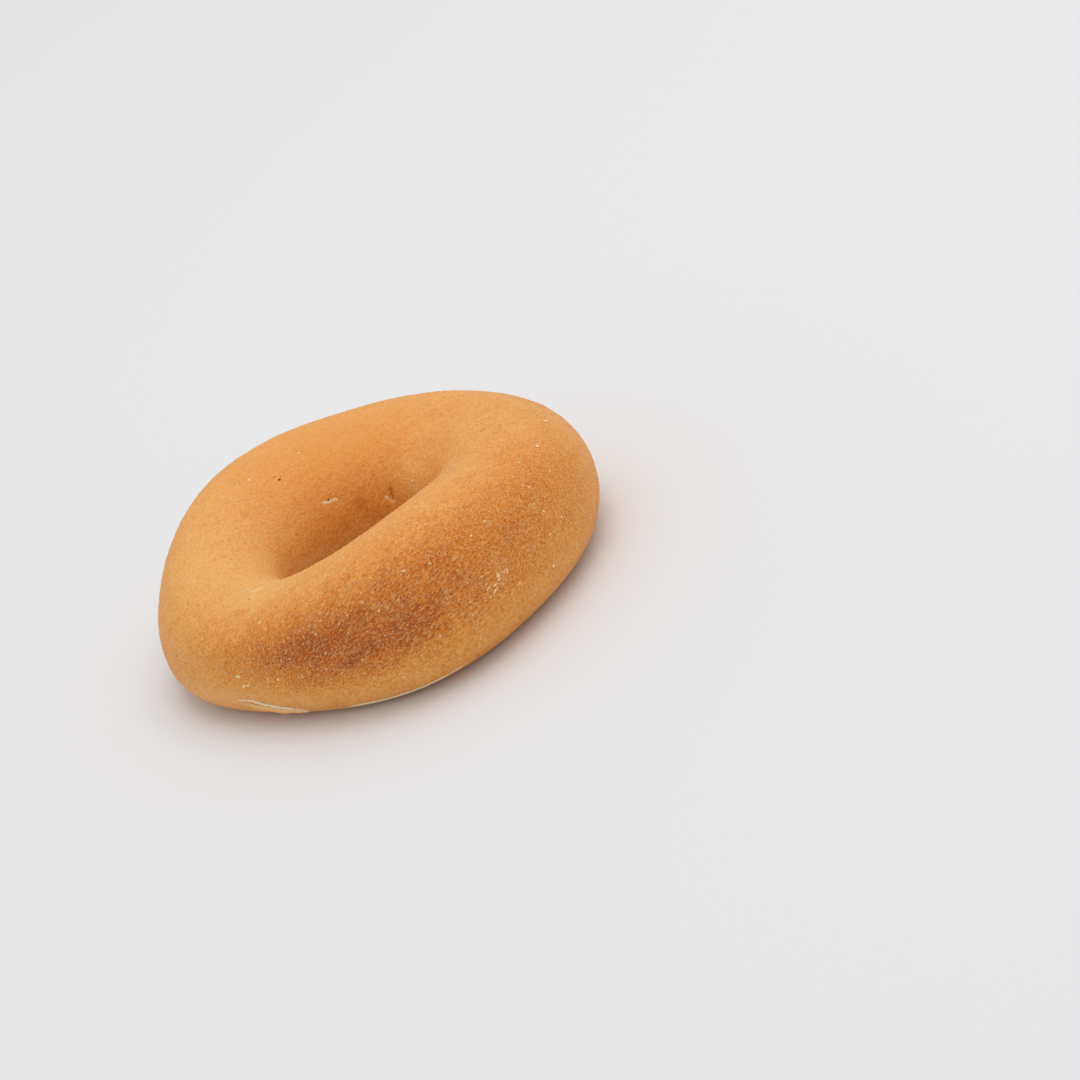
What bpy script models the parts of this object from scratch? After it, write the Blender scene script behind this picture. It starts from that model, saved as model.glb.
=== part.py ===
"""A plain boiled and baked bagel: one hand-shaped ring of dough, as a single solid.

The ring lies on its flat baked underside at z = 0. +X runs along its longer side, -Y is its
fuller front, and the origin is the middle of the ring's outline on the underside. The dough was
rolled and joined by hand, so the outline, the crest and the widest line all swell and dip slowly
round the ring. A torus primitive gives the mesh, and every vertex is then carried to its place
on the dough's section at its own angle round the ring.
"""

import math

import bpy

# Driving dimensions, in metres
RING_LENGTH = 0.1047
RING_DEPTH = 0.1027
RING_CENTRE_X = 0.0
RING_CENTRE_Y = 0.0013
CREST_HEIGHT = 0.0298
HOLE_LENGTH = 0.0367
HOLE_DEPTH = 0.0277
HOLE_CENTRE_X = -0.0030
HOLE_CENTRE_Y = -0.0004
WAIST_HEIGHT = 0.0100  # where the outer wall stands out furthest
THROAT_HEIGHT = 0.0135  # where the hole is narrowest

# Shares of the way across the dough, from the hole's edge (0) to the outline (1)
CREST_SHARE = 0.522
UNDERSIDE_OUTER_SHARE = 0.743
UNDERSIDE_INNER_SHARE = 0.22

# Slow swellings round the ring: (how many times round, size, angle of a peak in degrees)
OUTLINE_SWELLS = ((2, 0.0008, -44), (3, 0.0008, 26), (4, 0.0006, 5), (5, 0.0006, -21))
CREST_SWELLS = ((1, 0.0022, 10), (2, 0.0029, -63), (3, 0.0007, 28))
WAIST_SWELLS = ((1, 0.0026, -22), (2, 0.0005, 41))
CREST_SHARE_SWELLS = ((1, 0.008, 21), (2, 0.023, -63))

SEGMENTS_ROUND_RING = 108
SEGMENTS_ROUND_SECTION = 40
UNDERCUT_TURN = math.radians(54)  # of the section's turn, from the waist or throat to the base

CRUST_COLOUR = (0.68, 0.33, 0.10, 1.0)
CRUST_ROUGHNESS = 0.55


def swell(angle, terms):
    """The sum of the slow waves in terms at an angle round the ring."""
    return sum(size * math.cos(count * (angle - math.radians(peak))) for count, size, peak in terms)


def outline_point(angle):
    """The dough's outermost point in plan."""
    half_length, half_depth = RING_LENGTH / 2, RING_DEPTH / 2
    radius = half_length * half_depth / math.hypot(
        half_depth * math.cos(angle), half_length * math.sin(angle)
    )
    radius += swell(angle, OUTLINE_SWELLS)
    return (
        RING_CENTRE_X + radius * math.cos(angle),
        RING_CENTRE_Y + radius * math.sin(angle),
    )


def hole_point(angle):
    """The hole's edge in plan, at its narrowest."""
    return (
        HOLE_CENTRE_X + HOLE_LENGTH / 2 * math.cos(angle),
        HOLE_CENTRE_Y + HOLE_DEPTH / 2 * math.sin(angle),
    )


def domed_section(angle, turn):
    """(share across the dough, height) on the upper half, for a turn from 0 (out) to pi (in)."""
    crest_share = CREST_SHARE + swell(angle, CREST_SHARE_SWELLS)
    crest_height = CREST_HEIGHT + swell(angle, CREST_SWELLS)
    if turn < math.pi / 2:
        half_width = 1 - crest_share
        start_height = WAIST_HEIGHT + swell(angle, WAIST_SWELLS)
    else:
        half_width = crest_share
        start_height = THROAT_HEIGHT
    return (
        crest_share + half_width * math.cos(turn),
        start_height + (crest_height - start_height) * math.sin(turn),
    )


def lower_section(angle, turn):
    """(share across the dough, height) on the lower half, for a turn from 0 (out) to pi (in)."""
    if turn < UNDERCUT_TURN:
        tuck = turn / UNDERCUT_TURN * math.pi / 2
        waist = WAIST_HEIGHT + swell(angle, WAIST_SWELLS)
        reach = 1 - UNDERSIDE_OUTER_SHARE
        return UNDERSIDE_OUTER_SHARE + reach * math.cos(tuck), waist * (1 - math.sin(tuck))
    if turn > math.pi - UNDERCUT_TURN:
        tuck = (math.pi - turn) / UNDERCUT_TURN * math.pi / 2
        reach = UNDERSIDE_INNER_SHARE
        return reach - reach * math.cos(tuck), THROAT_HEIGHT * (1 - math.sin(tuck))
    along = (turn - UNDERCUT_TURN) / (math.pi - 2 * UNDERCUT_TURN)
    return UNDERSIDE_OUTER_SHARE + along * (UNDERSIDE_INNER_SHARE - UNDERSIDE_OUTER_SHARE), 0.0


def dough_point(angle, turn):
    """A point on the bagel: angle is round the ring, turn is round the section from outward, up."""
    if turn >= 0:
        share, height = domed_section(angle, turn)
    else:
        share, height = lower_section(angle, -turn)
    outer_x, outer_y = outline_point(angle)
    inner_x, inner_y = hole_point(angle)
    return (
        inner_x + share * (outer_x - inner_x),
        inner_y + share * (outer_y - inner_y),
        height,
    )


def crust_material():
    material = bpy.data.materials.new("crust")
    material.use_nodes = True
    shader = material.node_tree.nodes["Principled BSDF"]
    shader.inputs["Base Color"].default_value = CRUST_COLOUR
    shader.inputs["Roughness"].default_value = CRUST_ROUGHNESS
    shader.inputs["Metallic"].default_value = 0.0
    return material


def make_bagel(collection):
    """A torus whose vertices are carried to the dough's own section at their angle."""
    centre_radius, tube_radius = 1.0, 0.25
    bpy.ops.mesh.primitive_torus_add(
        major_segments=SEGMENTS_ROUND_RING,
        minor_segments=SEGMENTS_ROUND_SECTION,
        major_radius=centre_radius,
        minor_radius=tube_radius,
    )
    bagel = bpy.context.active_object
    bagel.name = "bagel"
    for vertex in bagel.data.vertices:
        x, y, z = vertex.co
        angle = math.atan2(y, x)
        turn = math.atan2(z, math.hypot(x, y) - centre_radius)
        vertex.co = dough_point(angle, turn)
    bagel.data.shade_smooth()
    bagel.data.materials.append(crust_material())
    for owner in bagel.users_collection:
        owner.objects.unlink(bagel)
    collection.objects.link(bagel)
    return bagel


def main():
    for leftover in list(bpy.data.objects):
        bpy.data.objects.remove(leftover)
    collection = bpy.data.collections.new("plain_bagel")
    bpy.context.scene.collection.children.link(collection)
    make_bagel(collection)


main()
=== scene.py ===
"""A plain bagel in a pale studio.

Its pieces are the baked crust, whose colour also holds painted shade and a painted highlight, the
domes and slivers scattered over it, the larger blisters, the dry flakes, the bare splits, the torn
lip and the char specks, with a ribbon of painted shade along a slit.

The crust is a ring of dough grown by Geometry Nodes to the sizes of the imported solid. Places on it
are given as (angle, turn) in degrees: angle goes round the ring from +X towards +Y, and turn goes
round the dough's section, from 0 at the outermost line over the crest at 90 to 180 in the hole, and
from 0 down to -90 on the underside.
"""

import math

import bmesh
import bpy
import numpy as np
from bpy.props import (
    FloatProperty,
    FloatVectorProperty,
    IntProperty,
    PointerProperty,
)
from mathutils import Matrix, Vector


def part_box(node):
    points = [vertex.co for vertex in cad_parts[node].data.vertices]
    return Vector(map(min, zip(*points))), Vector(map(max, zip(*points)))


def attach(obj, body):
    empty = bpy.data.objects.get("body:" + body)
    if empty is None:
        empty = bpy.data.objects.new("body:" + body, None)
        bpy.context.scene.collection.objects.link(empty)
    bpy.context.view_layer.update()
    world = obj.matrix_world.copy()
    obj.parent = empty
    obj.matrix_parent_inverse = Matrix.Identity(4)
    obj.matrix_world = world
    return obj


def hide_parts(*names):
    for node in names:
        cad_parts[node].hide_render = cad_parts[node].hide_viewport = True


bl_info = {
    "name": "Plain Bagel",
    "version": (1, 0, 0),
    "blender": (4, 5, 0),
    "location": "3D View > Sidebar > Bagel",
    "description": "Grows and finishes a hand-rolled bagel around its solid, with a pale studio",
    "category": "Add Mesh",
}

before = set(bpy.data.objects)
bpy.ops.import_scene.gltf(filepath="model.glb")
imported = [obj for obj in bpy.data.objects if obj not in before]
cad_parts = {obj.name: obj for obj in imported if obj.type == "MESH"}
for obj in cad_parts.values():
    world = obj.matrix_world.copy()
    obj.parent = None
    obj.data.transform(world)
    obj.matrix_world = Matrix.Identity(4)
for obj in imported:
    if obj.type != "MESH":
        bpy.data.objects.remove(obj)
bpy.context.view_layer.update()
SOLID_LOW, SOLID_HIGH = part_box("bagel")
SOLID_SIZE = SOLID_HIGH - SOLID_LOW
MM = 0.001
ROLLING_WAY = (0.94, 0.17, 0.29)  # the way the dough was rolled, which grain and flecks lie along

# Slow swellings round the ring: (how many times round, size in metres or shares, peak in degrees)
OUTLINE_SWELLS = ((2, 0.8 * MM, -44), (3, 0.8 * MM, 26), (4, 0.6 * MM, 5), (5, 0.6 * MM, -21))
CREST_SWELLS = ((1, 2.2 * MM, 10), (2, 2.9 * MM, -63), (3, 0.7 * MM, 28))
WAIST_SWELLS = ((1, 2.6 * MM, -22), (2, 0.5 * MM, 41))
CREST_SHARE_SWELLS = ((1, 0.008, 21), (2, 0.023, -63))
UNDERCUT_TURN = math.radians(54)
FLAT_BASE_FADE = (0.3 * MM, 4.0 * MM)  # heights between which dimples and pebbling set in
DIMPLE_SCALE = 38.0  # ripples per metre
PEBBLE_SCALE = 420.0


# ---------------------------------------------------------------- settings


class DoughSettings(bpy.types.PropertyGroup):
    """The sizes of the ring of dough, taken from the solid's box."""

    length: FloatProperty(
        name="Length",
        description="Mean length of the ring's outline",
        default=SOLID_SIZE.x * 0.9888,
        unit="LENGTH",
    )
    depth: FloatProperty(
        name="Depth",
        description="Mean depth of the ring's outline",
        default=SOLID_SIZE.y * 0.9881,
        unit="LENGTH",
    )
    centre: FloatVectorProperty(
        name="Outline Centre",
        description="Middle of the outline before its swellings",
        default=(0.0, SOLID_SIZE.y * 0.0125),
        size=2,
        unit="LENGTH",
    )
    crest_height: FloatProperty(
        name="Crest Height",
        description="Mean height of the crest above the underside",
        default=SOLID_SIZE.z * 0.8928,
        unit="LENGTH",
    )
    hole_length: FloatProperty(
        name="Hole Length",
        description="Length of the hole at its throat",
        default=SOLID_SIZE.x * 0.3466,
        unit="LENGTH",
    )
    hole_depth: FloatProperty(
        name="Hole Depth",
        description="Depth of the hole at its throat",
        default=SOLID_SIZE.y * 0.2665,
        unit="LENGTH",
    )
    hole_centre: FloatVectorProperty(
        name="Hole Centre",
        description="Middle of the hole's throat",
        default=(SOLID_SIZE.x * -0.0283, SOLID_SIZE.y * -0.0038),
        size=2,
        unit="LENGTH",
    )
    waist_height: FloatProperty(
        name="Waist Height",
        description="Height at which the outer wall stands out furthest",
        default=SOLID_SIZE.z * 0.2996,
        unit="LENGTH",
    )
    throat_height: FloatProperty(
        name="Throat Height",
        description="Height at which the hole is narrowest",
        default=SOLID_SIZE.z * 0.4044,
        unit="LENGTH",
    )
    crest_share: FloatProperty(
        name="Crest Share",
        description="Place of the crest between the hole's edge (0) and the outline (1)",
        default=0.522,
        subtype="FACTOR",
    )
    underside_outer: FloatProperty(
        name="Underside Outer Edge",
        description="Place of the flat underside's outer edge between hole (0) and outline (1)",
        default=0.743,
        subtype="FACTOR",
    )
    underside_inner: FloatProperty(
        name="Underside Inner Edge",
        description="Place of the flat underside's inner edge between hole (0) and outline (1)",
        default=0.22,
        subtype="FACTOR",
    )
    around_ring: IntProperty(
        name="Quads Round the Ring", description="Mesh fineness round the ring", default=560
    )
    around_section: IntProperty(
        name="Quads Round the Section", description="Mesh fineness round the dough", default=168
    )
    unevenness: FloatProperty(
        name="Unevenness",
        description="Height of the broad dimples that rolling by hand leaves",
        default=0.9 * MM,
        unit="LENGTH",
    )
    pebbling: FloatProperty(
        name="Pebbling",
        description="Height of the fine pebbling that the oven leaves in the skin",
        default=0.10 * MM,
        unit="LENGTH",
    )


class CrustSettings(bpy.types.PropertyGroup):
    """The colours of the crust, from unbaked dough to its darkest toasting."""

    light_gold: FloatVectorProperty(
        name="Light Gold",
        description="The least baked crust",
        default=(0.84, 0.44, 0.145),
        subtype="COLOR",
        size=3,
    )
    gold: FloatVectorProperty(
        name="Gold",
        description="The crust over most of the ring",
        default=(0.775, 0.308, 0.053),
        subtype="COLOR",
        size=3,
    )
    tan: FloatVectorProperty(
        name="Tan",
        description="The browner crust on the front",
        default=(0.60, 0.180, 0.024),
        subtype="COLOR",
        size=3,
    )
    toasted: FloatVectorProperty(
        name="Toasted",
        description="The darkest patch, low on the front",
        default=(0.36, 0.070, 0.008),
        subtype="COLOR",
        size=3,
    )
    dough: FloatVectorProperty(
        name="Dough",
        description="Unbaked skin that shows where the crust has split or was covered",
        default=(0.86, 0.66, 0.40),
        subtype="COLOR",
        size=3,
    )
    bare: FloatVectorProperty(
        name="Bare Dough",
        description="The palest dough, in the middle of a split",
        default=(0.89, 0.74, 0.49),
        subtype="COLOR",
        size=3,
    )
    dry_skin: FloatVectorProperty(
        name="Dry Skin",
        description="The pale flecks and dashes all over the crust",
        default=(0.90, 0.66, 0.38),
        subtype="COLOR",
        size=3,
    )
    roughness: FloatProperty(
        name="Roughness", description="Of the satin crust", default=0.56, subtype="FACTOR"
    )
    gloss: FloatProperty(
        name="Gloss", description="Specular level of the crust", default=0.18, subtype="FACTOR"
    )
    bloom: FloatProperty(
        name="Bloom",
        description="Soft dry haze seen along the crust",
        default=0.07,
        subtype="FACTOR",
    )


class FleckSettings(bpy.types.PropertyGroup):
    """The tiny pale flecks that fermentation leaves all over a boiled crust."""

    domes: FloatProperty(
        name="Domes per Square Metre",
        description="Small round blisters, where they lie thickest",
        default=330000.0,
    )
    largest_dome: FloatProperty(
        name="Largest Dome", description="Length of a dome", default=0.85 * MM, unit="LENGTH"
    )
    slivers: FloatProperty(
        name="Slivers per Square Metre",
        description="Fine raised dashes, where they lie thickest",
        default=4800000.0,
    )
    largest_sliver: FloatProperty(
        name="Largest Sliver", description="Length of a sliver", default=0.90 * MM, unit="LENGTH"
    )
    seed: IntProperty(name="Seed", description="Changes where the flecks fall", default=11)


class DetailSettings(bpy.types.PropertyGroup):
    """The single marks on the crust: blisters, flakes, splits, specks and the torn lip."""

    proudness: FloatProperty(
        name="Proudness",
        description="Scales how far blisters and flakes stand off the crust",
        default=1.0,
        subtype="FACTOR",
    )
    flakes: IntProperty(
        name="Flakes", description="How many slivers of skin lift in the flaky patch", default=26
    )
    # Char also colours the ribbon of painted shade along the slit in the far wall
    char: FloatVectorProperty(
        name="Char",
        description="Scorched specks and the floors of slits",
        default=(0.075, 0.024, 0.012),
        subtype="COLOR",
        size=3,
    )
    lip_reach: FloatProperty(
        name="Lip Reach",
        description="How far the torn lip hangs from the crust",
        default=1.9 * MM,
        unit="LENGTH",
    )
    seed: IntProperty(name="Seed", description="Changes the ragged edges", default=5)


class StudioSettings(bpy.types.PropertyGroup):
    """The camera and the light."""

    look_at: FloatVectorProperty(
        name="Look At",
        description="The middle of the bagel",
        default=(0.0, SOLID_SIZE.y * 0.0125, SOLID_SIZE.z * 0.518),
        subtype="TRANSLATION",
        unit="LENGTH",
    )
    distance: FloatProperty(
        name="Camera Distance",
        description="From the camera to the middle of the bagel",
        default=0.70,
        unit="LENGTH",
    )
    elevation: FloatProperty(
        name="Camera Elevation",
        description="Height of the camera above the table, as an angle",
        default=math.radians(26.0),
        subtype="ANGLE",
    )
    roll: FloatProperty(
        name="Camera Roll",
        description="Turn of the camera about its own line of sight",
        default=math.radians(24.8),
        subtype="ANGLE",
    )
    lens: FloatProperty(
        name="Focal Length", description="In millimetres, on a 36 mm sensor", default=103.8
    )
    aim_right: FloatProperty(
        name="Aim Right",
        description="How far right of the bagel the camera looks",
        default=math.radians(3.19),
        subtype="ANGLE",
    )
    aim_down: FloatProperty(
        name="Aim Down",
        description="How far below the bagel the camera looks",
        default=math.radians(0.17),
        subtype="ANGLE",
    )
    key_strength: FloatProperty(
        name="Key Strength", description="Power of the overhead softbox, in watts", default=6.5
    )
    sky_strength: FloatProperty(
        name="Sky Strength", description="Even light from all round", default=0.76
    )
    floor_colour: FloatVectorProperty(
        name="Floor Colour",
        description="The pale table",
        default=(0.765, 0.77, 0.78),
        subtype="COLOR",
        size=3,
    )


# ---------------------------------------------------------------- node helpers


class Value:
    """A number in a node tree. Arithmetic on it adds Math nodes to that tree."""

    def __init__(self, tree, socket):
        self.tree = tree
        self.socket = socket

    def math(self, operation, *others):
        node = self.tree.nodes.new("ShaderNodeMath")
        node.operation = operation
        for slot, item in zip(node.inputs, (self, *others)):
            feed(slot, item)
        return Value(self.tree, node.outputs["Value"])

    def __add__(self, other):
        return self.math("ADD", other)

    def __sub__(self, other):
        return self.math("SUBTRACT", other)

    def __mul__(self, other):
        return self.math("MULTIPLY", other)

    def __truediv__(self, other):
        return self.math("DIVIDE", other)

    def __rsub__(self, other):
        return self.math("MULTIPLY_ADD", -1.0, other)

    def below(self, limit):
        """1 where the value is below limit, 0 elsewhere."""
        return self.math("LESS_THAN", limit)

    def ease(self, low, high):
        """0 up to low, 1 from high on, and smooth between."""
        node = self.tree.nodes.new("ShaderNodeMapRange")
        node.interpolation_type = "SMOOTHSTEP"
        feed(node.inputs["Value"], self)
        feed(node.inputs["From Min"], low)
        feed(node.inputs["From Max"], high)
        return Value(self.tree, node.outputs["Result"])


def feed(slot, item):
    """Gives a socket its input: a Value, another socket, or a constant."""
    if isinstance(item, Value):
        item.tree.links.new(item.socket, slot)
    elif isinstance(item, bpy.types.NodeSocket):
        item.id_data.links.new(item, slot)
    else:
        slot.default_value = item


def add_node(tree, kind, inputs=None, **settings):
    """A node with its settings and inputs, which are given by name or by number."""
    node = tree.nodes.new(kind)
    for name, value in settings.items():
        setattr(node, name, value)
    for name, item in (inputs or {}).items():
        feed(node.inputs[name], item)
    return node


def noise_value(tree, vector, scale, detail=3.0, roughness=0.55, distortion=0.0):
    """Noise about 0.5, with its scale in ripples per metre."""
    node = add_node(
        tree,
        "ShaderNodeTexNoise",
        {
            "Vector": vector,
            "Scale": scale,
            "Detail": detail,
            "Roughness": roughness,
            "Distortion": distortion,
        },
    )
    return Value(tree, node.outputs[0])


def choose(condition, yes, no):
    """yes where the condition is 1 and no where it is 0."""
    return (yes - no) * condition + no


def new_tree(name, inputs):
    """A Geometry Nodes tree that makes geometry from named inputs. Returns it and its inputs."""
    tree = bpy.data.node_groups.new(name, "GeometryNodeTree")
    tree.interface.new_socket("Geometry", in_out="OUTPUT", socket_type="NodeSocketGeometry")
    for label, kind in inputs:
        tree.interface.new_socket(label, in_out="INPUT", socket_type="NodeSocket" + kind)
    start = tree.nodes.new("NodeGroupInput")
    return tree, start.outputs


def end_tree(tree, geometry, material):
    """Ends a tree in Realize Instances and Set Material."""
    real = add_node(tree, "GeometryNodeRealizeInstances", {"Geometry": geometry})
    finish = add_node(
        tree, "GeometryNodeSetMaterial", {"Geometry": real.outputs[0], "Material": material}
    )
    end = tree.nodes.new("NodeGroupOutput")
    feed(end.inputs[0], finish.outputs[0])


def grow(name, tree, values, material):
    """A plain mesh piece made by running a tree once with its named inputs set."""
    seedling = bpy.data.objects.new(name + "_seedling", bpy.data.meshes.new(name))
    bpy.context.scene.collection.objects.link(seedling)
    modifier = seedling.modifiers.new("Grow", "NODES")
    modifier.node_group = tree
    for socket in tree.interface.items_tree:
        if socket.in_out == "INPUT":
            modifier[socket.identifier] = values[socket.name]
    graph = bpy.context.evaluated_depsgraph_get()
    mesh = bpy.data.meshes.new_from_object(
        seedling.evaluated_get(graph), preserve_all_data_layers=True, depsgraph=graph
    )
    bpy.data.objects.remove(seedling)
    if not mesh.polygons:
        raise RuntimeError(f"{name} came out empty")
    return new_piece(name, mesh, material)


def new_piece(name, mesh, material):
    """An object at the origin that holds the mesh with its material."""
    mesh.name = name
    mesh.materials.clear()
    mesh.materials.append(material)
    piece = bpy.data.objects.new(name, mesh)
    bpy.context.scene.collection.objects.link(piece)
    return piece


def hand_over(piece, replaces=()):
    """Ties a finished piece to the solid's body."""
    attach(piece, "root")
    if replaces:
        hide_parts(*replaces)


# ---------------------------------------------------------------- the ring of dough


def swell(angle, terms):
    """The sum of slow waves round the ring, as nodes."""
    total = None
    for count, size, peak in terms:
        wave = ((angle - math.radians(peak)) * count).math("COSINE") * size
        total = wave if total is None else total + wave
    return total


def dough_tree(material):
    """Carries a torus's points to the dough's own section at their angle round the ring."""
    tree, given = new_tree(
        "Hand-Rolled Ring",
        [
            ("Length", "Float"),
            ("Depth", "Float"),
            ("Centre", "Vector"),
            ("Crest Height", "Float"),
            ("Hole Length", "Float"),
            ("Hole Depth", "Float"),
            ("Hole Centre", "Vector"),
            ("Waist Height", "Float"),
            ("Throat Height", "Float"),
            ("Crest Share", "Float"),
            ("Underside Outer", "Float"),
            ("Underside Inner", "Float"),
            ("Around Ring", "Int"),
            ("Around Section", "Int"),
            ("Unevenness", "Float"),
            ("Pebbling", "Float"),
        ],
    )

    def size(name):
        return Value(tree, given[name])

    ring = add_node(
        tree,
        "GeometryNodeCurvePrimitiveCircle",
        {"Resolution": given["Around Ring"], "Radius": 1.0},
    )
    section = add_node(
        tree,
        "GeometryNodeCurvePrimitiveCircle",
        {"Resolution": given["Around Section"], "Radius": 0.25},
    )
    torus = add_node(
        tree,
        "GeometryNodeCurveToMesh",
        {"Curve": ring.outputs[0], "Profile Curve": section.outputs[0]},
    )
    on_torus = tree.nodes.new("GeometryNodeInputPosition").outputs[0]
    place = add_node(tree, "ShaderNodeSeparateXYZ", {0: on_torus})
    x, y, z = (Value(tree, out) for out in place.outputs)
    angle = y.math("ARCTAN2", x)
    from_middle = (x * x + y * y).math("SQRT") - 1.0
    turn = z.math("ARCTAN2", from_middle)
    keep_angle = store(tree, torus.outputs[0], "ring_angle", angle)
    keep_turn = store(tree, keep_angle, "section_turn", turn)
    angle = recall(tree, "ring_angle")
    turn = recall(tree, "section_turn")

    cos_angle, sin_angle = angle.math("COSINE"), angle.math("SINE")
    half_length, half_depth = size("Length") * 0.5, size("Depth") * 0.5
    along, across = half_depth * cos_angle, half_length * sin_angle
    radius = half_length * half_depth / (along * along + across * across).math("SQRT")
    radius = radius + swell(angle, OUTLINE_SWELLS)
    centre = add_node(tree, "ShaderNodeSeparateXYZ", {0: given["Centre"]})
    outer_x = radius * cos_angle + Value(tree, centre.outputs["X"])
    outer_y = radius * sin_angle + Value(tree, centre.outputs["Y"])
    hole_centre = add_node(tree, "ShaderNodeSeparateXYZ", {0: given["Hole Centre"]})
    inner_x = size("Hole Length") * 0.5 * cos_angle + Value(tree, hole_centre.outputs["X"])
    inner_y = size("Hole Depth") * 0.5 * sin_angle + Value(tree, hole_centre.outputs["Y"])

    crest_share = size("Crest Share") + swell(angle, CREST_SHARE_SWELLS)
    crest = size("Crest Height") + swell(angle, CREST_SWELLS)
    waist = size("Waist Height") + swell(angle, WAIST_SWELLS)
    rise = turn.math("ABSOLUTE")
    outside = rise.below(math.pi / 2)
    start = choose(outside, waist, size("Throat Height"))
    half_width = choose(outside, 1.0 - crest_share, crest_share)
    domed_share = crest_share + half_width * turn.math("COSINE")
    domed_height = start + (crest - start) * turn.math("SINE")

    from_edge = choose(outside, rise, math.pi - rise)
    tuck = (from_edge / UNDERCUT_TURN).math("MINIMUM", 1.0) * (math.pi / 2)
    reach = choose(outside, 1.0 - size("Underside Outer"), size("Underside Inner") * -1.0)
    edge = choose(outside, size("Underside Outer"), size("Underside Inner"))
    tucked_share = edge + reach * tuck.math("COSINE")
    tucked_height = start * (1.0 - tuck.math("SINE"))
    underneath = (rise - UNDERCUT_TURN) / (math.pi - 2 * UNDERCUT_TURN)
    flat_share = choose(underneath, size("Underside Inner"), size("Underside Outer"))
    on_flat = (UNDERCUT_TURN - from_edge).below(0.0)
    low_share = choose(on_flat, flat_share, tucked_share)
    low_height = tucked_height * (1.0 - on_flat)

    below = turn.below(0.0)
    share = choose(below, low_share, domed_share)
    height = choose(below, low_height, domed_height)
    point = add_node(
        tree,
        "ShaderNodeCombineXYZ",
        {
            "X": inner_x + share * (outer_x - inner_x),
            "Y": inner_y + share * (outer_y - inner_y),
            "Z": height,
        },
    )
    shaped = add_node(
        tree, "GeometryNodeSetPosition", {"Geometry": keep_turn, "Position": point.outputs[0]}
    )

    position = tree.nodes.new("GeometryNodeInputPosition").outputs[0]
    above_base = Value(
        tree, add_node(tree, "ShaderNodeSeparateXYZ", {0: position}).outputs["Z"]
    )
    free = above_base.ease(*FLAT_BASE_FADE)
    dimples = (noise_value(tree, position, DIMPLE_SCALE, detail=1.5) - 0.5) * size("Unevenness")
    pebbles = (noise_value(tree, position, PEBBLE_SCALE, detail=2.0) - 0.5) * size("Pebbling")
    outward = tree.nodes.new("GeometryNodeInputNormal").outputs[0]
    lift = add_node(
        tree,
        "ShaderNodeVectorMath",
        {0: outward, "Scale": (dimples + pebbles) * free},
        operation="SCALE",
    )
    relief = add_node(
        tree, "GeometryNodeSetPosition", {"Geometry": shaped.outputs[0], "Offset": lift.outputs[0]}
    )
    end_tree(tree, relief.outputs[0], material)
    return tree


def store(tree, geometry, name, value):
    """Keeps a value on every point under a name, and returns the geometry."""
    node = add_node(
        tree,
        "GeometryNodeStoreNamedAttribute",
        {"Geometry": geometry, "Name": name},
        data_type="FLOAT",
        domain="POINT",
    )
    feed(node.inputs["Value"], value)
    return node.outputs[0]


def recall(tree, name):
    """The value kept under a name."""
    node = add_node(tree, "GeometryNodeInputNamedAttribute", {"Name": name}, data_type="FLOAT")
    return Value(tree, node.outputs["Attribute"])


# ---------------------------------------------------------------- relief and browning


class Surface:
    """The crust's points as arrays, with the fields that relief and browning are made from."""

    def __init__(self, mesh):
        count = len(mesh.vertices)
        self.mesh = mesh
        self.points = np.empty(count * 3)
        mesh.vertices.foreach_get("co", self.points)
        self.points = self.points.reshape(-1, 3)
        self.normals = np.empty(count * 3)
        mesh.vertices.foreach_get("normal", self.normals)
        self.normals = self.normals.reshape(-1, 3)
        self.angle = np.degrees(self.read("ring_angle")) % 360.0
        self.turn = np.degrees(self.read("section_turn"))

    def read(self, name):
        values = np.empty(len(self.mesh.vertices))
        self.mesh.attributes[name].data.foreach_get("value", values)
        return values

    def write(self, name, values):
        layer = self.mesh.attributes.new(name, "FLOAT", "POINT")
        layer.data.foreach_set("value", np.clip(values, 0.0, 1.0).astype(np.float32))

    def off_angle(self, angle):
        return (self.angle - angle + 180.0) % 360.0 - 180.0

    def off_turn(self, turn):
        return (self.turn - turn + 180.0) % 360.0 - 180.0

    def patch(self, angle, turn, spread_angle, spread_turn):
        """A soft oval patch, 1 at its middle."""
        off_angle = self.off_angle(angle) / spread_angle
        off_turn = self.off_turn(turn) / spread_turn
        return np.exp(-(off_angle**2) - off_turn**2)

    def place(self, angle, turn):
        """The spot on the crust at a place, and its normal, blended from the nearest points."""
        gap = self.off_angle(angle) ** 2 + (0.5 * self.off_turn(turn)) ** 2
        near = np.argpartition(gap, 6)[:6]
        weight = 1.0 / (gap[near] + 0.02)
        spot = weight @ self.points[near] / weight.sum()
        normal = weight @ self.normals[near]
        return spot, normal / np.linalg.norm(normal)

    def off_path(self, places):
        """Each point's distance in metres to a path through places, and its share along it."""
        corners = np.array([self.place(angle, turn)[0] for angle, turn in places])
        best = np.full(len(self.points), 1.0)
        share = np.zeros(len(self.points))
        for number, (start, end) in enumerate(zip(corners, corners[1:])):
            line = end - start
            along = np.clip((self.points - start) @ line / (line @ line), 0.0, 1.0)
            gap = np.linalg.norm(self.points - start - along[:, None] * line, axis=1)
            nearer = gap < best
            best[nearer] = gap[nearer]
            share[nearer] = (number + along[nearer]) / (len(corners) - 1)
        return best, share


def ease(values, low, high):
    """0 up to low, 1 from high on, and smooth between."""
    share = np.clip((values - low) / (high - low), 0.0, 1.0)
    return share * share * (3.0 - 2.0 * share)
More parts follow.
